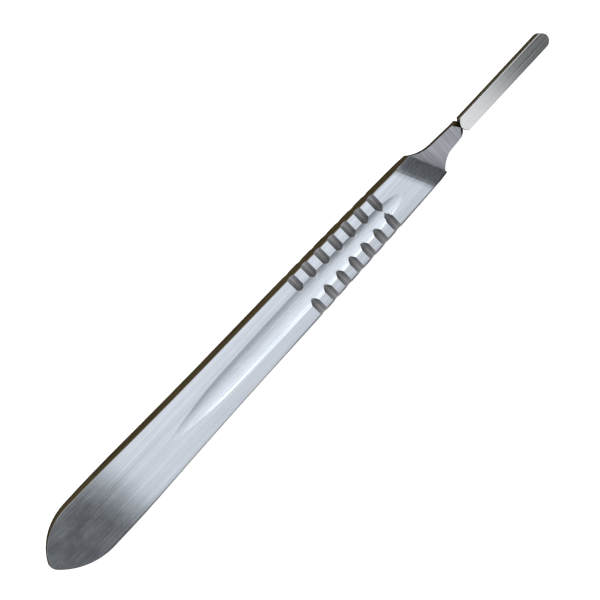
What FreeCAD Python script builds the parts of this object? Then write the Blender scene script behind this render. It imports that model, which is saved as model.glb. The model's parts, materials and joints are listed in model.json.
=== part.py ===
import FreeCAD, Part
import math
import os
import Sketcher

# A large scalpel handle in one piece of stainless steel, lying on its back face.
# In the body's own frame X runs from the butt to the tip of the blade fitting, and Z is zero
# half way through the thickness, so that both faces are cut alike. All sizes are millimetres.

SIZES = {
    # Outline of the flat body, seen from the front
    "body_length": 101.35,
    "body_thickness": 3.0,
    "nose_radius": 2.2,
    "butt_length": 10.0,
    "butt_width": 12.25,
    "cheek_station": 22.0,
    "cheek_width": 11.86,
    "cheek_radius": 300.0,
    "hand_station": 52.0,
    "hand_width": 10.22,
    "hand_radius": 1150.0,
    "shoulder_width": 7.9,
    "grip_radius": 2000.0,
    # Both faces fall away to a thinner butt on a long arc
    "butt_fall_start": 29.5,
    "butt_fall_radius": 600.0,
    # Slanted shoulder, where each face rolls down to the neck
    "shoulder_slant": 24.5,
    "roll_length": 4.3,
    "roll_drop": 0.55,
    "foot_radius": 0.25,
    "edge_bevel": 0.2,
    # Hollow-ground flute down the middle of each face
    "flute_radius": 3.2,
    "flute_rear_station": 47.7,
    "flute_rear_depth": 0.59,
    "flute_rear_sweep": 300.0,
    "flute_front_station": 85.0,
    "flute_front_depth": 0.56,
    "flute_front_sweep": 68.0,
    "flute_middle_sweep": 3500.0,
    "flute_overrun": 0.05,
    # Finger notches across each face
    "notch_count": 7,
    "notch_pitch": 3.475,
    "notch_station": 68.0,
    "notch_radius": 1.1,
    "notch_depth": 0.42,
    # Neck between the shoulder and the waist
    "neck_length": 9.35,
    "neck_floor": 0.95,
    "neck_thickness": 1.28,
    "neck_root_width": 7.6,
    "neck_root_depth": 2.0,
    "neck_width": 3.06,
    "upper_sweep_length": 3.05,
    "upper_sweep_width": 3.72,
    "upper_sweep_radius": 8.0,
    "lower_sweep_length": 4.85,
    "lower_sweep_width": 3.54,
    "lower_sweep_radius": 5.9,
    # Waist, where two cuts cross between the neck and the lug
    "waist_width": 1.76,
    "waist_crest": 0.2,
    "waist_reach": 1.05,
    "waist_lean": 0.75,
    # Lug that fills the blade's slot, with a groove along each side for the blade's edges
    "lug_length": 24.3,
    "lug_width": 3.0,
    "lug_tail_length": 0.95,
    "lug_tail_radius": 2.4,
    "groove_gap": 0.42,
    "groove_depth": 0.4,
    "lip_thickness": 0.18,
    "lip_bevel": 0.08,
}
CLEAR = 1.0
NEAR = 0.0001


class Size(float):
    """A number that remembers its formula, so that a sketch can be bound to the sheet."""

    def __new__(cls, value, formula=None):
        made = super().__new__(cls, value)
        made.formula = formula or str(float(value))
        return made

    def __add__(self, other):
        other = sized(other)
        return Size(float(self) + float(other), f"({self.formula} + {other.formula})")

    def __sub__(self, other):
        other = sized(other)
        return Size(float(self) - float(other), f"({self.formula} - {other.formula})")

    def __mul__(self, other):
        other = sized(other)
        return Size(float(self) * float(other), f"({self.formula} * {other.formula})")

    def __truediv__(self, other):
        other = sized(other)
        return Size(float(self) / float(other), f"({self.formula} / {other.formula})")

    def __neg__(self):
        return Size(-float(self), f"(0 - {self.formula})")


def sized(value):
    return value if isinstance(value, Size) else Size(value)


def tangent(degrees):
    return Size(math.tan(math.radians(degrees)), f"tan({degrees.formula})")


def square_root(size):
    return Size(math.sqrt(size), f"sqrt({size.formula})")


doc = FreeCAD.newDocument("scalpel_handle")
sheet = doc.addObject("Spreadsheet::Sheet", "Sizes")
for row, (alias, value) in enumerate(SIZES.items(), start=1):
    sheet.set(f"A{row}", alias)
    sheet.set(f"B{row}", str(value))
    sheet.setAlias(f"B{row}", alias)
doc.recompute()
S = {alias: Size(value, f"Sizes.{alias}") for alias, value in SIZES.items()}

body = doc.addObject("PartDesign::Body", "Handle")
body.Label = "handle"
ORIGIN = {feature.Role: feature for feature in body.Origin.OriginFeatures}


def new_sketch(name, plane, across=None, out=None, turn=None):
    """A sketch on one of the body's planes, moved across or out of it, or turned upright."""
    sketch = body.newObject("Sketcher::SketchObject", name)
    sketch.AttachmentSupport = (ORIGIN[plane], [""])
    sketch.MapMode = "FlatFace"
    if turn is not None:
        sketch.AttachmentOffset = FreeCAD.Placement(
            FreeCAD.Vector(), FreeCAD.Rotation(FreeCAD.Vector(0, 1, 0), float(turn)))
        sketch.setExpression("AttachmentOffset.Rotation.Angle", turn.formula)
    for axis, size in (("x", across), ("z", out)):
        if size is not None:
            sketch.setExpression(f"AttachmentOffset.Base.{axis}", size.formula)
    return sketch


def pin(sketch, geometry, point, x, y):
    """Dimension a point from the sketch's origin, each way from the sheet."""
    for kind, size, axis in (("DistanceX", x, -2), ("DistanceY", y, -1)):
        size = sized(size)
        if size.formula == "0.0":
            sketch.addConstraint(Sketcher.Constraint("PointOnObject", geometry, point, axis))
            continue
        rule = sketch.addConstraint(
            Sketcher.Constraint(kind, -1, 1, geometry, point, float(size)))
        sketch.setExpression(f"Constraints[{rule}]", size.formula)


def draw_side(sketch, start, end, bend):
    """A straight side, or an arc that turns left or right on its way.

    Gives the side's number and its two ends, which Sketcher counts as points 1 and 2.
    """
    here = FreeCAD.Vector(float(start[0]), float(start[1]), 0)
    there = FreeCAD.Vector(float(end[0]), float(end[1]), 0)
    if bend is None:
        return sketch.addGeometry(Part.LineSegment(here, there), False), 1, 2
    way, radius = bend
    if way == "right":
        here, there = there, here
    half = (there - here) * 0.5
    rise = math.sqrt(max(float(radius) ** 2 - half.Length ** 2, 0))
    left = FreeCAD.Vector(-half.y, half.x, 0).normalize()
    centre = here + half + left * rise
    arc = Part.ArcOfCircle(
        Part.Circle(centre, FreeCAD.Vector(0, 0, 1), float(radius)),
        math.atan2(here.y - centre.y, here.x - centre.x),
        math.atan2(there.y - centre.y, there.x - centre.x))
    side = sketch.addGeometry(arc, False)
    rule = sketch.addConstraint(Sketcher.Constraint("Radius", side, float(radius)))
    sketch.setExpression(f"Constraints[{rule}]", sized(radius).formula)
    return (side, 2, 1) if way == "right" else (side, 1, 2)


def draw_profile(sketch, corners, closed=True):
    """Corners are (x, y), or (x, y, (way, radius)) where the side that follows is an arc."""
    count = len(corners) if closed else len(corners) - 1
    sides = []
    for index in range(count):
        corner = corners[index]
        following = corners[(index + 1) % len(corners)]
        bend = corner[2] if len(corner) > 2 else None
        sides.append(draw_side(sketch, corner, following, bend))
    for index, (side, first, last) in enumerate(sides):
        pin(sketch, side, first, *corners[index][:2])
        if closed or index + 1 < count:
            neighbour, joint, _ = sides[(index + 1) % count]
            sketch.addConstraint(Sketcher.Constraint("Coincident", side, last, neighbour, joint))
    if not closed:
        pin(sketch, sides[-1][0], sides[-1][2], *corners[-1][:2])


def draw_circle(sketch, x, y, radius):
    circle = sketch.addGeometry(
        Part.Circle(FreeCAD.Vector(float(x), float(y), 0), FreeCAD.Vector(0, 0, 1), float(radius)))
    rule = sketch.addConstraint(Sketcher.Constraint("Radius", circle, float(radius)))
    sketch.setExpression(f"Constraints[{rule}]", radius.formula)
    pin(sketch, circle, 3, x, y)


def mirrored(corners):
    """The same corners on the other side of the sketch's X axis."""
    turned = {"left": "right", "right": "left"}
    flipped = []
    for corner in corners:
        bend = corner[2] if len(corner) > 2 else None
        place = (corner[0], -corner[1])
        flipped.append(place if bend is None else place + ((turned[bend[0]], bend[1]),))
    return flipped


def add_pad(name, sketch, length, both_ways=False):
    pad = body.newObject("PartDesign::Pad", name)
    pad.Profile = sketch
    pad.SideType = "Symmetric" if both_ways else "One side"
    pad.setExpression("Length", length.formula)
    return settle(pad, grows=True)


def add_pocket(name, sketch, forward=False):
    """A cut right through, both ways from the sketch or only forward from it."""
    pocket = body.newObject("PartDesign::Pocket", name)
    pocket.Profile = sketch
    pocket.Type = "ThroughAll"
    pocket.SideType = "One side" if forward else "Symmetric"
    pocket.Reversed = forward
    return settle(pocket, grows=False)


volumes = [0.0]


def settle(feature, grows):
    """Work the feature out, and stop if it changed nothing or went the wrong way."""
    body.Tip = feature
    doc.recompute()
    volumes.append(feature.Shape.Volume)
    change = volumes[-1] - volumes[-2]
    print(f"{feature.Name}: {change:+.3f} cubic mm")
    if (change > 0) != grows or abs(change) < NEAR:
        raise RuntimeError(f"{feature.Name} changed the volume by {change:.4f}")
    return feature


def dress(kind, name, base, wanted, size, grows=False):
    """A fillet or chamfer on those edges of the base whose middle and ends the test accepts."""
    chosen = []
    for index, edge in enumerate(base.Shape.Edges, start=1):
        middle = edge.valueAt((edge.FirstParameter + edge.LastParameter) / 2)
        ends = [vertex.Point for vertex in edge.Vertexes]
        if wanted(middle, ends):
            chosen.append(f"Edge{index}")
    feature = body.newObject(f"PartDesign::{kind}", name)
    feature.Base = (base, chosen)
    feature.setExpression("Radius" if kind == "Fillet" else "Size", size.formula)
    return settle(feature, grows)


# Flat body. The butt is a pointed arch: each flank is an arc that meets the nose and the side.
half_thickness = S["body_thickness"] / 2
half_butt = S["butt_width"] / 2
butt_run = S["butt_length"] - S["nose_radius"]
flank_radius = (butt_run * butt_run + half_butt * half_butt - S["nose_radius"] * S["nose_radius"]) / (
    S["butt_width"] - S["nose_radius"] * 2)
flank_reach = flank_radius - S["nose_radius"]
nose_joint = (S["nose_radius"] - S["nose_radius"] * butt_run / flank_reach,
              S["nose_radius"] * (flank_radius - half_butt) / flank_reach)
half_shoulder = S["shoulder_width"] / 2
slant_shift = half_shoulder * tangent(S["shoulder_slant"])

side = [
    nose_joint + (("right", flank_radius),),
    (S["butt_length"], half_butt, ("right", S["cheek_radius"])),
    (S["cheek_station"], S["cheek_width"] / 2, ("left", S["hand_radius"])),
    (S["hand_station"], S["hand_width"] / 2, ("right", S["grip_radius"])),
    (S["body_length"] - slant_shift, half_shoulder),
]
other_side = [(S["body_length"] + slant_shift, -half_shoulder, ("right", S["grip_radius"]))]
for near, far in zip(side[3::-1], side[2::-1] + [None]):
    bend = far[2] if far else ("right", S["nose_radius"])
    other_side.append((near[0], -near[1], bend))
outline = new_sketch("Outline", "XY_Plane")
draw_profile(outline, side + other_side)
add_pad("Blank", outline, S["body_thickness"], both_ways=True)

# Both faces fall away towards the butt, each on one long arc that starts level with the face.
butt_fall = new_sketch("ButtFall", "XZ_Plane")
fall_run = S["butt_fall_start"] + CLEAR
fall_drop = S["butt_fall_radius"] - square_root(
    S["butt_fall_radius"] * S["butt_fall_radius"] - fall_run * fall_run)
fall = [
    (sized(-CLEAR), half_thickness - fall_drop, ("right", S["butt_fall_radius"])),
    (S["butt_fall_start"], half_thickness),
    (S["butt_fall_start"], half_thickness + CLEAR),
    (sized(-CLEAR), half_thickness + CLEAR),
]
draw_profile(butt_fall, fall)
draw_profile(butt_fall, mirrored(fall))
thinned = add_pocket("ButtFallCut", butt_fall)


def on_face_rim(middle, ends):
    """An edge where a face meets the side wall, all round except along the shoulder."""
    upright = abs(ends[0].z - ends[-1].z) > abs(ends[0].x - ends[-1].x) + abs(ends[0].y - ends[-1].y)
    across = len(ends) > 1 and ends[0].y * ends[-1].y < 0 and middle.x > S["nose_radius"]
    return not upright and not across


dress("Chamfer", "RimBevel", thinned, on_face_rim, S["edge_bevel"])

# Each face rolls down over the last stretch before the slanted shoulder.
roll = new_sketch("ShoulderRoll", "XZ_Plane", across=S["body_length"], turn=S["shoulder_slant"])
roll_radius = (S["roll_length"] * S["roll_length"] + S["roll_drop"] * S["roll_drop"]) / (
    S["roll_drop"] * 2)
roll_face = [
    (-S["roll_length"], half_thickness, ("right", roll_radius)),
    (sized(0), half_thickness - S["roll_drop"]),
    (sized(CLEAR), half_thickness - S["roll_drop"]),
    (sized(CLEAR), half_thickness + CLEAR),
    (-S["roll_length"], half_thickness + CLEAR),
]
draw_profile(roll, roll_face)
draw_profile(roll, mirrored(roll_face))
add_pocket("ShoulderRollCut", roll)

# Hollow-ground flute: a round wheel's path sinks in near the butt, rises slowly and lifts out.
flute_path = new_sketch("FlutePath", "XZ_Plane")
face_level = half_thickness + S["flute_radius"]
rear_sweep = S["flute_rear_sweep"] - S["flute_radius"]
front_sweep = S["flute_front_sweep"] - S["flute_radius"]


def sweep_run(sweep, depth):
    """How far the path runs while it lifts from its depth to a little above the face."""
    lift = depth + S["flute_overrun"]
    return square_root(sweep * lift * 2 - lift * lift)


rear_run = sweep_run(rear_sweep, S["flute_rear_depth"])
front_run = sweep_run(front_sweep, S["flute_front_depth"])
path_top = face_level + S["flute_overrun"]
draw_profile(flute_path, [
    (S["flute_rear_station"] - rear_run, path_top, ("left", rear_sweep)),
    (S["flute_rear_station"], face_level - S["flute_rear_depth"], ("left", S["flute_middle_sweep"])),
    (S["flute_front_station"], face_level - S["flute_front_depth"], ("left", front_sweep)),
    (S["flute_front_station"] + front_run, path_top),
], closed=False)
flute_section = new_sketch("FluteSection", "YZ_Plane", out=S["flute_rear_station"] - rear_run)
draw_circle(flute_section, sized(0), path_top, S["flute_radius"])
flute = body.newObject("PartDesign::SubtractivePipe", "Flute")
flute.Profile = flute_section
flute.Spine = (flute_path, ["Edge1", "Edge2", "Edge3"])
settle(flute, grows=False)
flutes = body.newObject("PartDesign::Mirrored", "Flutes")
flutes.Originals = [flute]
flutes.MirrorPlane = (ORIGIN["XY_Plane"], [""])
settle(flutes, grows=False)

# Finger notches, ground straight across both faces with a round wheel.
notch_sketch = new_sketch("NotchSection", "XZ_Plane")
notch_level = half_thickness + S["notch_radius"] - S["notch_depth"]
draw_circle(notch_sketch, S["notch_station"], notch_level, S["notch_radius"])
draw_circle(notch_sketch, S["notch_station"], -notch_level, S["notch_radius"])
notch = add_pocket("Notch", notch_sketch)
notches = body.newObject("PartDesign::LinearPattern", "Notches")
notches.Originals = [notch]
notches.Direction = (ORIGIN["X_Axis"], [""])
notches.Mode = "Spacing"
notches.setExpression("Offset", S["notch_pitch"].formula)
notches.setExpression("Occurrences", S["notch_count"].formula)
settle(notches, grows=False)

# Neck and the lower half of the lug, in one thin plate that grows out of the shoulder.
waist = S["body_length"] + S["neck_length"]
tip = waist + S["lug_length"]
half_root = S["neck_root_width"] / 2
root_shift = half_root * tangent(S["shoulder_slant"])
half_neck = S["neck_width"] / 2
half_lug = S["lug_width"] / 2
neck_top = S["neck_thickness"] - S["neck_floor"]
neck_outline = new_sketch("NeckOutline", "XY_Plane", out=-S["neck_floor"])
draw_profile(neck_outline, [
    (S["body_length"] - root_shift - S["neck_root_depth"], half_root),
    (S["body_length"] - root_shift, half_root, ("left", S["upper_sweep_radius"])),
    (S["body_length"] + S["upper_sweep_length"], S["upper_sweep_width"] / 2),
    (waist - S["waist_reach"], half_neck),
    (waist + S["lug_tail_length"], half_lug),
    (tip - half_lug, half_lug, ("right", half_lug)),
    (tip, sized(0), ("right", half_lug)),
    (tip - half_lug, -half_lug),
    (waist + S["lug_tail_length"], -half_lug),
    (waist - S["waist_reach"], -half_neck),
    (S["body_length"] + S["lower_sweep_length"], -S["lower_sweep_width"] / 2,
     ("left", S["lower_sweep_radius"])),
    (S["body_length"] + root_shift, -half_root),
    (S["body_length"] + root_shift - S["neck_root_depth"], -half_root),
])
add_pad("Neck", neck_outline, S["neck_thickness"])

# Waist: a slanting V is cut from each side, deepest at the top, so that the two cross there.
def draw_v(sketch, apex_x, apex_y):
    """The V opens outwards, past the neck's side."""
    steps = (half_neck + CLEAR) / half_neck
    draw_profile(sketch, [
        (apex_x, apex_y),
        (apex_x - S["waist_reach"] * steps, apex_y + half_neck * steps),
        (apex_x + S["lug_tail_length"] * steps, apex_y + half_neck * steps),
    ])


top_cut = new_sketch("WaistCutTop", "XY_Plane", out=neck_top)
draw_v(top_cut, waist, S["waist_crest"] / 2)
low_cut = new_sketch("WaistCutLow", "XY_Plane", out=-S["neck_floor"])
draw_v(low_cut, waist + S["waist_lean"], S["waist_width"] / 2)
waist_cut = body.newObject("PartDesign::SubtractiveLoft", "WaistCut")
waist_cut.Profile = top_cut
waist_cut.Sections = [low_cut]
waist_cut.Ruled = True
settle(waist_cut, grows=False)
waist_cuts = body.newObject("PartDesign::Mirrored", "WaistCuts")
waist_cuts.Originals = [waist_cut]
waist_cuts.MirrorPlane = (ORIGIN["XZ_Plane"], [""])
settle(waist_cuts, grows=False)

# Upper half of the lug, with a pointed tail over the waist.
lug_outline = new_sketch("LugOutline", "XY_Plane", out=neck_top)
draw_profile(lug_outline, [
    (waist, sized(0), ("right", S["lug_tail_radius"])),
    (waist + S["lug_tail_length"], half_lug),
    (tip - half_lug, half_lug, ("right", half_lug)),
    (tip, sized(0), ("right", half_lug)),
    (tip - half_lug, -half_lug),
    (waist + S["lug_tail_length"], -half_lug, ("right", S["lug_tail_radius"])),
])
add_pad("Lug", lug_outline, S["groove_gap"] + S["lip_thickness"])

# The blade's edges slide in a groove along each side, level with the top of the neck.
groove_section = new_sketch("GrooveSection", "YZ_Plane", out=waist - CLEAR)
for direction in (1, -1):
    draw_profile(groove_section, [
        ((half_lug - S["groove_depth"]) * direction, neck_top),
        ((half_lug + CLEAR) * direction, neck_top),
        ((half_lug + CLEAR) * direction, neck_top + S["groove_gap"]),
        ((half_lug - S["groove_depth"]) * direction, neck_top + S["groove_gap"]),
    ])
grooved = add_pocket("Grooves", groove_section, forward=True)
lip_top = neck_top + S["groove_gap"] + S["lip_thickness"]


def on_lip_rim(middle, ends):
    """The lug's upper rim, all round."""
    return middle.x > waist and abs(middle.z - lip_top) < NEAR


def on_foot(middle, ends):
    """The inner edge where the neck's top meets the shoulder."""
    level = all(abs(point.z - neck_top) < NEAR for point in ends)
    across = len(ends) > 1 and ends[0].y * ends[-1].y < 0
    return level and across and middle.x < S["body_length"] + root_shift


bevel = dress("Chamfer", "LipBevel", grooved, on_lip_rim, S["lip_bevel"])
dress("Fillet", "FootRounding", bevel, on_foot, S["foot_radius"], grows=True)

body.setExpression("Placement.Base.x", (-(tip / 2)).formula)
body.setExpression("Placement.Base.z", half_thickness.formula)
doc.recompute()

for item in doc.Objects:
    if "Invalid" in item.State or "Error" in item.State:
        raise RuntimeError(f"{item.Name} failed: {item.State}")
os.makedirs("parts", exist_ok=True)
if body.Shape.isNull() or not body.Shape.isValid():
    raise RuntimeError("The handle is not a valid solid")
box = body.Shape.optimalBoundingBox(False)
print(f"{body.Label}: {box.XLength:.2f} x {box.YLength:.2f} x {box.ZLength:.2f} mm, "
      f"{body.Shape.Volume:.0f} cubic mm, {len(body.Shape.Solids)} solid")
body.Shape.exportStep(f"parts/{body.Label}.step")
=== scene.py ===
# %% [markdown]
# A scalpel handle in brushed steel
#
# The handle is one piece of forged and ground stainless steel: a long flat body with a hollow
# flute and finger notches, a narrow neck, and a thin grooved lug that takes the blade. Its shape
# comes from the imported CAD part. This lesson gives it the finish that each grinding step leaves.

import json
import math

import bmesh
import bpy
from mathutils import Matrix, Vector

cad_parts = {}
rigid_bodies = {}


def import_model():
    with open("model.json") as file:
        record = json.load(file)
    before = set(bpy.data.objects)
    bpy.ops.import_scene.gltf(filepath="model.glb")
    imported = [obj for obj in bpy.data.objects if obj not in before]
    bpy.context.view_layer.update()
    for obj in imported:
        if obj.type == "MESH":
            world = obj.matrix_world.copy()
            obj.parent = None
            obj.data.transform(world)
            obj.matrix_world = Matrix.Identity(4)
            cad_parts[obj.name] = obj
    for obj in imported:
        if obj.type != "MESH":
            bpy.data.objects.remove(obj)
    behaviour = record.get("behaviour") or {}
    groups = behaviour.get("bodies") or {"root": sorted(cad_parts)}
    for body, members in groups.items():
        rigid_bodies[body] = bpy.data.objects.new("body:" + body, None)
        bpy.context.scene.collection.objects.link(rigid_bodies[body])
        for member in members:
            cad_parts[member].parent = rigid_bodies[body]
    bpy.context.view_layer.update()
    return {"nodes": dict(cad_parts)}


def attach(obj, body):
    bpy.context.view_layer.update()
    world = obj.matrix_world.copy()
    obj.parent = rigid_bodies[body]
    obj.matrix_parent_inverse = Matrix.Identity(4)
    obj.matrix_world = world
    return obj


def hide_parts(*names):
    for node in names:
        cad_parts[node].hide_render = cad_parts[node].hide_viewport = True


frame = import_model()
MM = 0.001


# %% [markdown]
# The camera
#
# The picture was taken from close by, a hand's length above the handle, which is why the two rows
# of notches don't line up in it. The camera stands to the +Y side and looks down at the handle.
# Its place and angles were worked out from the edges and the notches.

# %% Place the camera
CAMERA_PLACE = (-14.176 * MM, 73.466 * MM, 188.733 * MM)
CAMERA_TURNS = (-12.4616, -17.9969, -44.3439)
VIEW_ANGLE = 30.895
FILM_WIDTH = 36.0
bpy.ops.object.camera_add(
    location=CAMERA_PLACE, rotation=tuple(math.radians(turn) for turn in CAMERA_TURNS))
camera = bpy.context.object
camera.name = "Camera"
camera.data.sensor_width = FILM_WIDTH
camera.data.angle = math.radians(VIEW_ANGLE)
camera.data.clip_start = 10 * MM
bpy.context.scene.camera = camera
print("Lens in mm:", round(camera.data.lens, 2))

# %% [markdown]
# Where things are on the handle
#
# A finish is chosen by place, so the notches, the slanted shoulder and the waist need names. The
# notches are round cuts across both faces, so a point is in one if it is close to a cut's axis.
# A side wall is told from a face by the way it looks: its normal is turned away from up or down.

# %% Name the places
FIRST_NOTCH = 0.5 * MM
NOTCH_STEP = 3.475 * MM
NOTCHES = [FIRST_NOTCH + NOTCH_STEP * step for step in range(7)]
NOTCH_LEVELS = (3.68 * MM, -0.68 * MM)
NOTCH_RADIUS = 1.1 * MM
NOTCH_SLACK = 1.03
BUTT_END = -55 * MM
FLUTE_HALF_WIDTH = 2.3 * MM
SHOULDER = 33.85 * MM
SLANT = math.tan(math.radians(24.5))
SHOULDER_SLACK = 0.02 * MM
WAIST = 43.2 * MM


def in_notch(points):
    reach = NOTCH_RADIUS * NOTCH_SLACK
    for x in NOTCHES:
        for z in NOTCH_LEVELS:
            if all(math.hypot(point.x - x, point.z - z) < reach for point in points):
                return True
    return False


def before_edge(point):
    """How far a point lies before the slanted edge of the shoulder, along the handle."""
    return SHOULDER - point.x - point.y * SLANT


def past_shoulder(point):
    return before_edge(point) < -SHOULDER_SLACK


print("Notches:", len(NOTCHES), "from", round(NOTCHES[0] / MM, 2),
      "to", round(NOTCHES[-1] / MM, 2), "mm")

# %% Tell the side walls from the faces
# How level a wall may still lie, where 1 is level with the face.
WALL_LEVEL = 0.85
NECK_LEVEL = 0.5
WAIST_LEVEL = 0.95
# How far it has to look aside, where 1 is straight to the side.
WALL_ASIDE = 0.15
NECK_ASIDE = 0.5
WAIST_REACH = (-3.0 * MM, 1.5 * MM)


def on_side(points, middle, normal):
    """The side walls and the bevels that lead to them."""
    level, aside = abs(normal.z), abs(normal.y)
    if past_shoulder(middle):
        if WAIST_REACH[0] < middle.x - WAIST < WAIST_REACH[1]:
            return level < WAIST_LEVEL
        return level < NECK_LEVEL and aside > NECK_ASIDE
    outside = abs(middle.y) > FLUTE_HALF_WIDTH or middle.x < BUTT_END
    turned = level < WALL_LEVEL or aside > WALL_ASIDE
    return turned and outside and not in_notch(points)


print("A wall leans", round(math.degrees(math.acos(WALL_LEVEL))), "degrees or more, or looks aside")

# %% [markdown]
# The handle's mesh
#
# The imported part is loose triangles, one set of corners each, so light breaks at every edge of
# the hollow flute. A copy is merged along its corners, its flat faces are joined up again, and it
# is shaded smooth except where two faces really meet at an angle. The copy stands for the part.

# %% Copy the handle and merge it
MERGE_GAP = 0.002 * MM
FLAT_WITHIN = 0.2
SMOOTH_WITHIN = 24
bpy.ops.object.select_all(action="DESELECT")
cad_handle = frame["nodes"]["handle"]
cad_handle.select_set(True)
bpy.context.view_layer.objects.active = cad_handle
bpy.ops.object.duplicate()
handle = bpy.context.object
handle.name = "handle_steel"
handle.data.name = "handle_steel"
bpy.ops.object.parent_clear(type="CLEAR_KEEP_TRANSFORM")
for key in list(handle.keys()):
    del handle[key]
bpy.ops.mesh.customdata_custom_splitnormals_clear()
bpy.ops.object.mode_set(mode="EDIT")
bpy.ops.mesh.select_all(action="SELECT")
bpy.ops.mesh.remove_doubles(threshold=MERGE_GAP)
bpy.ops.mesh.dissolve_limited(angle_limit=math.radians(FLAT_WITHIN))
bpy.ops.object.mode_set(mode="OBJECT")
bpy.ops.object.shade_smooth_by_angle(angle=math.radians(SMOOTH_WITHIN))
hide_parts("handle")
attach(handle, "root")
print("Corners and faces:", len(handle.data.vertices), len(handle.data.polygons))

# %% [markdown]
# The last of the grinding
#
# Two shapes are left to the hand, and so to this copy. The shoulder is rolled over on a soft
# wheel, so its roll starts a little sooner than the part's does and is as deep at the edge. The
# copy is cut across into narrow strips, and their corners are let down to the rounder curve. The
# flute's wheel sinks in slowly at the rear and then spreads. Its corners move sideways only,
# or sink less near the rear end, so the notches that run into it stay as they are.

# %% Cut the shoulder into strips
THICKNESS = 3.0 * MM
ROLL_LENGTH = 7.5 * MM
ROLL_STRIPS = 12
mesh = bmesh.new()
mesh.from_mesh(handle.data)
for strip in range(1, ROLL_STRIPS + 1):
    start = SHOULDER - ROLL_LENGTH * strip / ROLL_STRIPS
    bmesh.ops.bisect_plane(
        mesh, geom=mesh.verts[:] + mesh.edges[:] + mesh.faces[:], dist=MERGE_GAP,
        plane_co=(start, 0, 0), plane_no=(1, SLANT, 0))
print("Corners after the cuts:", len(mesh.verts))

# %% Roll the shoulder
ROLL_DROP = 0.55 * MM
ROLL_POWER = 2.5
EDGE_SLACK = 0.01 * MM
# Slivers are merged on the roll, but not at its edge or at the sides.
SLIVER = 0.08 * MM
SLIVERS_FROM_EDGE = 0.3 * MM
SLIVERS_HALF_WIDTH = 3.4 * MM


def rolled_level(point):
    share = max(0.0, 1.0 - before_edge(point) / ROLL_LENGTH)
    return THICKNESS - ROLL_DROP * share ** ROLL_POWER


lowered = 0
for corner in mesh.verts:
    point = corner.co
    if not -EDGE_SLACK < before_edge(point) < ROLL_LENGTH:
        continue
    level = rolled_level(point)
    if point.z > level:
        point.z = level
        lowered += 1
    elif point.z < THICKNESS - level:
        point.z = THICKNESS - level
        lowered += 1
inner = [corner for corner in mesh.verts
         if SLIVERS_FROM_EDGE < before_edge(corner.co) < ROLL_LENGTH
         and abs(corner.co.y) < SLIVERS_HALF_WIDTH]
bmesh.ops.remove_doubles(mesh, verts=inner, dist=SLIVER)
print("Corners let down on the roll:", lowered)

# %% Spread the flute
FLUTE_START = -38.6 * MM
FLUTE_EASE = 7.2 * MM
FLUTE_SPREAD = 1.18
SPREAD_FADES_FROM = 1.0 * MM
SPREAD_FADES_OVER = 13.0 * MM
HOLLOW_REACH = (-39 * MM, 27 * MM)
HOLLOW_HALF_WIDTH = 2.0 * MM
FLAT = 0.99999


def spread_at(x):
    """How much broader the flute is here than on the part, less than one near its rear end."""
    spread = FLUTE_SPREAD * (1.0 - math.exp(-max(0.0, x - FLUTE_START) / FLUTE_EASE))
    fade = min(1.0, max(0.0, (x - SPREAD_FADES_FROM) / SPREAD_FADES_OVER))
    return spread + (1.0 - spread) * fade * fade * (3.0 - 2.0 * fade)


def in_flute(point):
    return abs(point.y) < HOLLOW_HALF_WIDTH and HOLLOW_REACH[0] < point.x < HOLLOW_REACH[1]


def corners_of(surface):
    return [corner.co for corner in surface.verts]


hollow = set()
for surface in mesh.faces:
    points = corners_of(surface)
    if all(in_flute(point) for point in points) and abs(surface.normal.z) < FLAT:
        if not in_notch(points):
            hollow.update(surface.verts)
for corner in hollow:
    point = corner.co
    spread = spread_at(point.x)
    point.y *= spread
    face_level = THICKNESS if point.z > THICKNESS / 2 else 0.0
    point.z = face_level + (point.z - face_level) * min(1.0, spread ** 2)
mesh.normal_update()
mesh.to_mesh(handle.data)
mesh.free()
print("Corners of the flutes:", len(hollow))

# %% [markdown]
# Sharp and soft edges
#
# The flute leaves the flat face at almost no angle where it ends. Its rim is marked sharp all
# round, so that the flat face keeps one even tone right up to it. The bevels along the sides are
# the opposite: polishing has rounded them, so their edges are marked smooth. Weighted normals
# then keep the large faces flat, and all of the turning falls on the narrow bevel.

# %% Mark the edges
BEVEL_LEVELS = (0.3, 0.85)
LEVEL_FACE = 0.97
UPRIGHT_WALL = 0.05


def is_flat(surface):
    return abs(surface.normal.z) > FLAT


def is_bevel(surface):
    leaning = BEVEL_LEVELS[0] < abs(surface.normal.z) < BEVEL_LEVELS[1]
    middle = surface.calc_center_median()
    return leaning and on_side(corners_of(surface), middle, surface.normal)


def is_face_or_wall(surface):
    level = abs(surface.normal.z)
    return (level > LEVEL_FACE or level < UPRIGHT_WALL) and not in_notch(corners_of(surface))


mesh = bmesh.new()
mesh.from_mesh(handle.data)
rims = softened = 0
for edge in mesh.edges:
    if len(edge.link_faces) != 2:
        continue
    one, other = edge.link_faces
    if all(abs(corner.co.y) < FLUTE_HALF_WIDTH for corner in edge.verts):
        if is_flat(one) != is_flat(other):
            edge.smooth = False
            rims += 1
    elif (is_bevel(one) and is_face_or_wall(other)) or (is_bevel(other) and is_face_or_wall(one)):
        edge.smooth = True
        softened += 1
mesh.to_mesh(handle.data)
mesh.free()
print("Flute rim edges:", rims, "and softened edges:", softened)

# %% Weight the normals by area
weighting = handle.modifiers.new("Weighting", "WEIGHTED_NORMAL")
weighting.mode = "FACE_AREA"
weighting.weight = 100
weighting.keep_sharp = True
bpy.ops.object.modifier_apply(modifier=weighting.name)
print("Own normals:", handle.data.has_custom_normals)

# %% [markdown]
# Brushed steel
#
# A brush or belt drawn along the steel leaves fine scratches side by side. They blur a reflection
# across the scratches and keep it sharp along them, which is what the shader's anisotropy does.
# The tangent is taken round the X axis, so the blur runs across the handle on every side of it.
# Stretched noise gives the single scratches, in colour, in gloss and in a very low bump.

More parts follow.
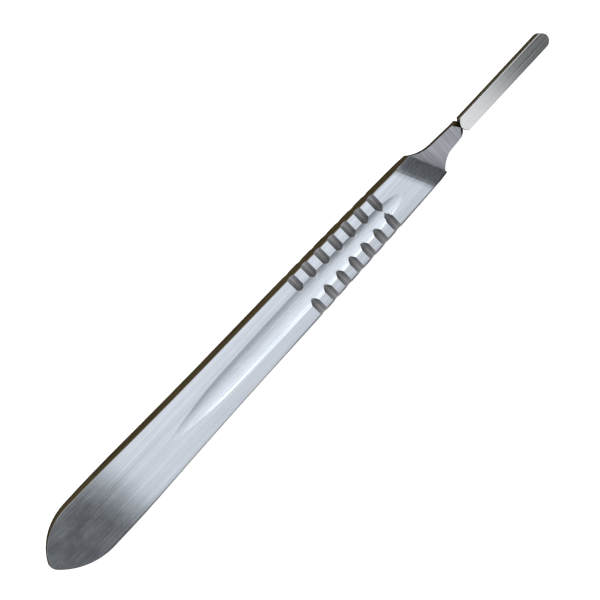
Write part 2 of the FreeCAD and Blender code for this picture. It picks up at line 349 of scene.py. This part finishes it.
# %% Short names for nodes
SOFT = "SMOOTHSTEP"


def add_node(tree, kind, **settings):
    node = tree.nodes.new(kind)
    for key, value in settings.items():
        if key in node.inputs:
            node.inputs[key].default_value = value
        else:
            setattr(node, key, value)
    return node


def remap(value, source, target, kind="LINEAR"):
    """A value that runs over the source range, brought to the target range and held at its ends."""
    tree = value.id_data
    node = add_node(tree, "ShaderNodeMapRange", interpolation_type=kind)
    for socket, number in zip(("From Min", "From Max", "To Min", "To Max"), (*source, *target)):
        node.inputs[socket].default_value = number
    tree.links.new(value, node.inputs["Value"])
    return node.outputs["Result"]


def combine(operation, first, second=0.0):
    """Two values, of which one may be a plain number, through a maths node."""
    tree = (second if isinstance(first, (int, float)) else first).id_data
    node = add_node(tree, "ShaderNodeMath", operation=operation)
    for socket, value in zip(node.inputs, (first, second)):
        if isinstance(value, (int, float)):
            socket.default_value = value
        else:
            tree.links.new(value, socket)
    return node.outputs["Value"]


def axes_of(vector):
    """The three parts of a vector, each found by its letter."""
    split = add_node(vector.id_data, "ShaderNodeSeparateXYZ")
    vector.id_data.links.new(vector, split.inputs["Vector"])
    return split.outputs


def along_to_slant(axes):
    """The place along the handle that reaches SHOULDER at every point of the slanted edge."""
    return combine("ADD", axes["X"], combine("MULTIPLY", axes["Y"], SLANT))


def stretched_noise(place, stretch, detail=2.0):
    """Noise drawn out along the brush's way. The stretch is how many features fit in a metre."""
    tree = place.id_data
    mapping = add_node(tree, "ShaderNodeMapping")
    mapping.inputs["Scale"].default_value = stretch
    tree.links.new(place, mapping.inputs["Vector"])
    noise = add_node(tree, "ShaderNodeTexNoise", Scale=1.0, Detail=detail, Roughness=0.6)
    tree.links.new(mapping.outputs["Vector"], noise.inputs["Vector"])
    return noise.outputs["Fac"]


print("Node helpers are ready")

# %% Build a brushed finish
NOISE_RANGE = (0.3, 0.7)
SCRATCH_SHARE = 0.6
BAND_SHARE = 0.4
GLOSS_SWING = 0.2


class Steel:
    """One steel finish: its node tree, the place on the handle, and its two sets of scratches."""

    def __init__(self, name, anisotropy, fine, coarse, edge_tint=1.0):
        self.material = bpy.data.materials.new(name)
        self.material.use_nodes = True
        self.tree = self.material.node_tree
        self.shader = self.tree.nodes["Principled BSDF"]
        self.shader.inputs["Metallic"].default_value = 1.0
        self.shader.inputs["Anisotropic"].default_value = anisotropy
        self.shader.inputs["Specular Tint"].default_value = (edge_tint, edge_tint, edge_tint, 1.0)
        tangent = add_node(self.tree, "ShaderNodeTangent", direction_type="RADIAL", axis="X")
        self.tree.links.new(tangent.outputs["Tangent"], self.shader.inputs["Tangent"])
        coordinates = add_node(self.tree, "ShaderNodeTexCoord")
        self.place = coordinates.outputs["Object"]
        self.normal = coordinates.outputs["Normal"]
        self.scratches = stretched_noise(self.place, fine)
        bands = stretched_noise(self.place, coarse)
        self.lines = combine("ADD", combine("MULTIPLY", self.scratches, SCRATCH_SHARE),
                             combine("MULTIPLY", bands, BAND_SHARE))

    def colour(self, colour, streak, dimmed=None):
        """The colour, darker between the scratches by the streak, and dimmed by a value."""
        shade = remap(self.lines, NOISE_RANGE, (1.0 - streak, 1.0))
        if dimmed is not None:
            shade = combine("MULTIPLY", shade, dimmed)
        tint = add_node(self.tree, "ShaderNodeMix", data_type="RGBA", blend_type="MULTIPLY")
        tint.inputs[0].default_value = 1.0
        if isinstance(colour, tuple):
            tint.inputs[6].default_value = (*colour, 1.0)
        else:
            self.tree.links.new(colour, tint.inputs[6])
        self.tree.links.new(shade, tint.inputs[7])
        self.tree.links.new(tint.outputs[2], self.shader.inputs["Base Color"])

    def gloss(self, roughness, added=None):
        """The roughness, up and down a little with the scratches, and more where a value says."""
        swing = (roughness * (1.0 - GLOSS_SWING), roughness * (1.0 + GLOSS_SWING))
        rough = remap(self.scratches, NOISE_RANGE, swing)
        if added is not None:
            rough = combine("ADD", rough, added)
        self.tree.links.new(rough, self.shader.inputs["Roughness"])

    def relief(self, height, under=None):
        bump = add_node(self.tree, "ShaderNodeBump", Strength=1.0, Distance=height)
        if under is not None:
            self.tree.links.new(under, bump.inputs["Normal"])
        self.tree.links.new(self.lines, bump.inputs["Height"])
        self.tree.links.new(bump.outputs["Normal"], self.shader.inputs["Normal"])


print("The brushed finish is ready")

# %% [markdown]
# The two faces
#
# The faces were brushed along their length, and the shoulder was rolled over by hand on a softer
# wheel, so it is duller there, and its edge is darkened with painted shade. The wheel also takes
# a trace off both rims, which a low bump across the face shows, and the far rim has a painted
# shadow along it. The flute has painted shade on its wall that looks towards -Y beside the
# notches, and the butt has been handled most and has smudges.

# %% Dim the shoulder's edge and the butt
FACE_COLOUR = (0.635, 0.685, 0.755)
ROLL_GLOSS_PLACE = (SHOULDER - 7 * MM, SHOULDER - 3 * MM)
ROLL_DULLER = 0.03
EDGE_PLACE = (SHOULDER - 3 * MM, SHOULDER)
EDGE_PAINTED_SHADE = 0.72
BUTT_PLACE = (-56 * MM, -46 * MM)
BUTT_BRIGHTER = (1.26, 1.05)
SMUDGE_RANGE = (0.4, 0.7)
SMUDGE_SHADES = (0.5, 0.05)
face = Steel("brushed_face", anisotropy=1.0, fine=(30, 5000, 5000), coarse=(9, 1400, 1400))
where = axes_of(face.place)
to_shoulder = along_to_slant(where)
rolled = remap(to_shoulder, ROLL_GLOSS_PLACE, (0.0, ROLL_DULLER), SOFT)
# Painted shade: the face colour darkens towards the shoulder's edge, where the roll turns away from
# the light.
painted_shade_at_edge = remap(to_shoulder, EDGE_PLACE, (1.0, EDGE_PAINTED_SHADE))
smudges = stretched_noise(face.place, (190, 260, 260), detail=4.0)
at_butt = remap(where["X"], BUTT_PLACE, SMUDGE_SHADES)
smudged = combine("MULTIPLY", remap(smudges, SMUDGE_RANGE, (0.0, 1.0)), at_butt)
worn = combine("SUBTRACT", remap(where["X"], BUTT_PLACE, BUTT_BRIGHTER), smudged)
print(face.material.name, "so far:", len(face.tree.nodes), "nodes")

# %% Paint shade on the flute beside the notches
FLUTE_SHADE_STARTS = (-2 * MM, 9 * MM)
FLUTE_SHADE_FADES = (20 * MM, 26 * MM)
FLUTE_PAINTED_SHADE = 0.42
FLUTE_SHADE_LEFT = 0.2
FLUTE_SHADE_TILT = (-0.5, -0.12)
# Painted shade: the flute's wall that looks towards -Y is darkened beside the notches, where it
# turns away from the light.
flute_shade_along = combine("MULTIPLY", remap(where["X"], FLUTE_SHADE_STARTS, (0.0, FLUTE_PAINTED_SHADE), SOFT),
                        remap(where["X"], FLUTE_SHADE_FADES, (1.0, FLUTE_SHADE_LEFT), SOFT))
tilt = axes_of(face.normal)["Y"]
painted_flute_shade = combine("MULTIPLY", flute_shade_along, remap(tilt, FLUTE_SHADE_TILT, (1.0, 0.0)))
print("Painted_flute_shade from", round(FLUTE_SHADE_STARTS[0] / MM), "to", round(FLUTE_SHADE_FADES[1] / MM), "mm")

# %% Round the rims and finish the faces
BODY_TAPER = (-52 * MM, SHOULDER)
HALF_WIDTHS = (6.1 * MM, 3.95 * MM)
FAR_RIM = (-0.985, -0.9)
FAR_RIM_PAINTED_SHADOW = 0.25
CROWN_POWER = 7.0
CROWN_HEIGHT = 0.08 * MM
half_width = remap(where["X"], BODY_TAPER, HALF_WIDTHS)
from_middle = combine("DIVIDE", where["Y"], half_width)
# Painted shadow: a dark line along the far rim at -Y, where the handle meets the table.
far_rim_painted_shadow = remap(from_middle, FAR_RIM, (FAR_RIM_PAINTED_SHADOW, 1.0), SOFT)
dimmed = combine("MULTIPLY", combine("MULTIPLY", worn, painted_shade_at_edge),
                 combine("MULTIPLY", combine("SUBTRACT", 1.0, painted_flute_shade), far_rim_painted_shadow))
face.colour(FACE_COLOUR, streak=0.26, dimmed=dimmed)
face.gloss(roughness=0.17, added=rolled)
across = combine("ABSOLUTE", from_middle)
fallen = combine("MULTIPLY", combine("POWER", across, CROWN_POWER), -1.0)
crown = add_node(face.tree, "ShaderNodeBump", Strength=1.0, Distance=CROWN_HEIGHT)
face.tree.links.new(fallen, crown.inputs["Height"])
face.relief(height=0.008 * MM, under=crown.outputs["Normal"])
print(face.material.name, len(face.tree.nodes), "nodes")

# %% [markdown]
# The side walls
#
# The sides are darkened with a painted reflection of a dark brown surface below, in their colour
# and in a low edge tint. The colour follows the way the surface looks: level with the face it has
# the face's bright colour, and turned aside it takes the dark painted reflection.

# %% Finish the side walls
WALL_PAINTED_REFLECTION = (0.105, 0.085, 0.05)
REFLECTION_FADE_LEVELS = (0.85, 1.0)
# Painted reflection: the low edge tint darkens the wall's reflection at a glance as well.
wall = Steel("side_wall", anisotropy=0.5, fine=(40, 4000, 4000), coarse=(12, 900, 900),
             edge_tint=0.15)
upward = combine("ABSOLUTE", axes_of(wall.normal)["Z"])
painted_reflection_fade = remap(upward, REFLECTION_FADE_LEVELS, (0.0, 1.0))
painted_reflection = add_node(wall.tree, "ShaderNodeMix", data_type="RGBA")
painted_reflection.inputs[6].default_value = (*WALL_PAINTED_REFLECTION, 1.0)
painted_reflection.inputs[7].default_value = (*FACE_COLOUR, 1.0)
wall.tree.links.new(painted_reflection_fade, painted_reflection.inputs[0])
wall.colour(painted_reflection.outputs[2], streak=0.35)
wall.gloss(roughness=0.42)
wall.relief(height=0.006 * MM)
print(wall.material.name, len(wall.tree.nodes), "nodes")

# %% [markdown]
# The notches, the neck and the lug
#
# The notches were cut with a small wheel after the brushing, so they are dull, and their colour is
# darkened with painted shade, with a painted highlight towards their outer ends. The neck was
# ground across its length, which leaves cross lines and light and dark bands, and its foot has
# painted shade. The lug is a ground sliding fit, the brightest and smoothest of all.

# %% Finish the notches
NOTCH_SHADED_COLOUR = (0.33, 0.335, 0.35)
NOTCH_RUN = (1.8 * MM, 4.6 * MM)
NOTCH_PAINTED_SHADES = (0.62, 1.5)
notch = Steel("ground_notch", anisotropy=0.3, fine=(300, 5000, 5000), coarse=(60, 900, 900))
# Painted shade and painted highlight: darkest at the notch's inner end in the hollow, lighter
# towards its outer end at the rim.
notch_painted_shade = remap(combine("ABSOLUTE", axes_of(notch.place)["Y"]), NOTCH_RUN, NOTCH_PAINTED_SHADES)
notch.colour(NOTCH_SHADED_COLOUR, streak=0.35, dimmed=notch_painted_shade)
notch.gloss(roughness=0.5)
notch.relief(height=0.004 * MM)
print(notch.material.name, len(notch.tree.nodes), "nodes")

# %% Finish the neck and the lug
NECK_COLOUR = (0.60, 0.62, 0.69)
FOOT_PLACE = (SHOULDER, SHOULDER + 3 * MM)
FOOT_PAINTED_SHADE = 0.55
LUG_COLOUR = (0.77, 0.79, 0.81)
neck = Steel("ground_neck", anisotropy=0.2, fine=(4200, 120, 900), coarse=(620, 60, 400))
# Painted shade: the neck is darker at its foot, in the corner right under the shoulder's step.
painted_shade_at_foot = remap(along_to_slant(axes_of(neck.place)), FOOT_PLACE, (FOOT_PAINTED_SHADE, 1.0))
neck.colour(NECK_COLOUR, streak=0.55, dimmed=painted_shade_at_foot)
neck.gloss(roughness=0.34)
neck.relief(height=0.006 * MM)

lug = Steel("ground_lug", anisotropy=1.0, fine=(40, 5000, 5000), coarse=(12, 1400, 1400))
lug.colour(LUG_COLOUR, streak=0.14)
lug.gloss(roughness=0.2)
lug.relief(height=0.005 * MM)
for finish in (neck, lug):
    print(finish.material.name, len(finish.tree.nodes), "nodes")

# %% [markdown]
# A finish for every face
#
# Each face of the mesh is asked where it is and which way it looks, and it gets the finish that
# the maker's wheel would have left there. It is quicker and surer than picking faces by hand.

# %% Put each finish on its faces
FINISHES = [finish.material for finish in (face, wall, notch, neck, lug)]


def finish_of(points, middle, normal):
    if on_side(points, middle, normal):
        return wall.material
    if past_shoulder(middle):
        return lug.material if middle.x > WAIST else neck.material
    return notch.material if in_notch(points) else face.material


handle.data.materials.clear()
for material in FINISHES:
    handle.data.materials.append(material)
counts = [0] * len(FINISHES)
for polygon in handle.data.polygons:
    points = [handle.data.vertices[index].co for index in polygon.vertices]
    polygon.material_index = FINISHES.index(finish_of(points, polygon.center, polygon.normal))
    counts[polygon.material_index] += 1
print("Faces of each finish:", dict(zip([material.name for material in FINISHES], counts)))

# %% [markdown]
# The floor
#
# The handle lies on a pale table. The table glows a little for the camera and in reflections, so
# that it reads as white, and it gives no more light to the handle for that.

# %% Make the floor
FLOOR_SIDE = 6.0
FLOOR_LEVEL = -0.0002 * MM
PAPER_GREY = 0.85
PAPER_GLOW = 0.7
bpy.ops.object.select_all(action="DESELECT")
bpy.ops.mesh.primitive_plane_add(size=FLOOR_SIDE, location=(0, 0, FLOOR_LEVEL))
floor = bpy.context.object
floor.name = "floor"
paper = bpy.data.materials.new("paper")
paper.use_nodes = True
tree = paper.node_tree
shader = tree.nodes["Principled BSDF"]
shader.inputs["Base Color"].default_value = (PAPER_GREY, PAPER_GREY, PAPER_GREY, 1.0)
shader.inputs["Roughness"].default_value = 0.9
shader.inputs["Specular IOR Level"].default_value = 0.1
rays = add_node(tree, "ShaderNodeLightPath").outputs
seen = combine("MAXIMUM", rays["Is Camera Ray"], rays["Is Glossy Ray"])
seen = combine("MAXIMUM", seen, rays["Is Transmission Ray"])
glow = add_node(tree, "ShaderNodeEmission")
tree.links.new(combine("MULTIPLY", seen, PAPER_GLOW), glow.inputs["Strength"])
surface = add_node(tree, "ShaderNodeAddShader")
tree.links.new(shader.outputs["BSDF"], surface.inputs[0])
tree.links.new(glow.outputs["Emission"], surface.inputs[1])
tree.links.new(surface.outputs["Shader"], tree.nodes["Material Output"].inputs["Surface"])
floor.data.materials.append(paper)
print("Floor in metres:", [round(side, 2) for side in floor.dimensions])

# %% [markdown]
# The light
#
# Steel shows what is around it. A broad pale ceiling is over the handle and makes its face
# bright. Two soft-edged grey cards hang in it, one towards each end, and they show at the butt,
# on the rolled shoulder and at the tip of the lug. The ceiling is brighter towards +Y, where one
# soft lamp stands, and that makes the light line along the flute. Beside and past the cards the
# room is light, for the other views, and the camera itself sees plain white all round. The room
# is drawn by direction: X runs along the handle, Y across it and Z up, each from -1 to 1.

# %% Hang the ceiling and the cards
BUTT_CARD_EDGE = (-0.243, -0.157)
LUG_CARD_EDGE = (0.297, 0.345)
CARD_SIDES = ((-0.84, -0.66), (0.0, 0.25))
BESIDE_CARDS = 0.7
CARD_PLACE = (-0.25, 0.35)
CARD_GREYS = (0.165, 0.1)
CEILING_PLACE = (-0.9, -0.3)
CEILING_LIGHT = (0.47, 0.94)
TOWARDS_LAMP = (-0.3, 0.3)
LAMP_SIDE_LIGHT = 0.22
room = bpy.data.worlds.new("room")
bpy.context.scene.world = room
room.use_nodes = True
tree = room.node_tree
sky = tree.nodes["Background"]
sky.inputs["Color"].default_value = (1.0, 1.0, 1.0, 1.0)
way = axes_of(add_node(tree, "ShaderNodeTexCoord").outputs["Generated"])
between_cards = combine("MULTIPLY", remap(way["X"], BUTT_CARD_EDGE, (0.0, 1.0), SOFT),
                        remap(way["X"], LUG_CARD_EDGE, (1.0, 0.0), SOFT))
beside_cards = combine("MAXIMUM", remap(way["Y"], CARD_SIDES[0], (BESIDE_CARDS, 0.0), SOFT),
                       remap(way["Y"], CARD_SIDES[1], (0.0, BESIDE_CARDS), SOFT))
ceiling = combine("ADD", remap(way["Y"], CEILING_PLACE, CEILING_LIGHT),
                  remap(way["Y"], TOWARDS_LAMP, (0.0, LAMP_SIDE_LIGHT)))
strip = combine("MULTIPLY", combine("MAXIMUM", between_cards, beside_cards), ceiling)
overhead = combine("ADD", strip, remap(way["X"], CARD_PLACE, CARD_GREYS))
print("World nodes so far:", len(tree.nodes))

# %% Light the rest of the room
SKIRTING = (0.1, 0.3)
SKIRTING_LIGHT = 0.5
END_WALLS = (0.55, 0.67)
END_WALL_LIGHT = 0.5
skirting = remap(way["Z"], SKIRTING, (SKIRTING_LIGHT, 0.0))
ends = remap(combine("ABSOLUTE", way["X"]), END_WALLS, (0.0, END_WALL_LIGHT), SOFT)
light = combine("MAXIMUM", overhead, combine("MAXIMUM", skirting, ends))
seen = add_node(tree, "ShaderNodeLightPath").outputs["Is Camera Ray"]
tree.links.new(combine("MAXIMUM", light, seen), sky.inputs["Strength"])
print("World nodes:", len(tree.nodes))

# %% Add the soft lamp
LAMP_PLACE = Vector((20, 420, 330)) * MM
LAMP_SIDE = 300 * MM
LAMP_STRENGTH = 1.1
bpy.ops.object.light_add(type="AREA", location=LAMP_PLACE)
lamp = bpy.context.object
lamp.name = "soft_lamp"
lamp.rotation_euler = LAMP_PLACE.to_track_quat("Z", "Y").to_euler()
lamp.data.shape = "SQUARE"
lamp.data.size = LAMP_SIDE
lamp.data.energy = LAMP_STRENGTH * math.pi * LAMP_SIDE ** 2
bpy.context.scene.view_settings.view_transform = "Standard"
print("Lamp distance in mm:", round(LAMP_PLACE.length / MM))
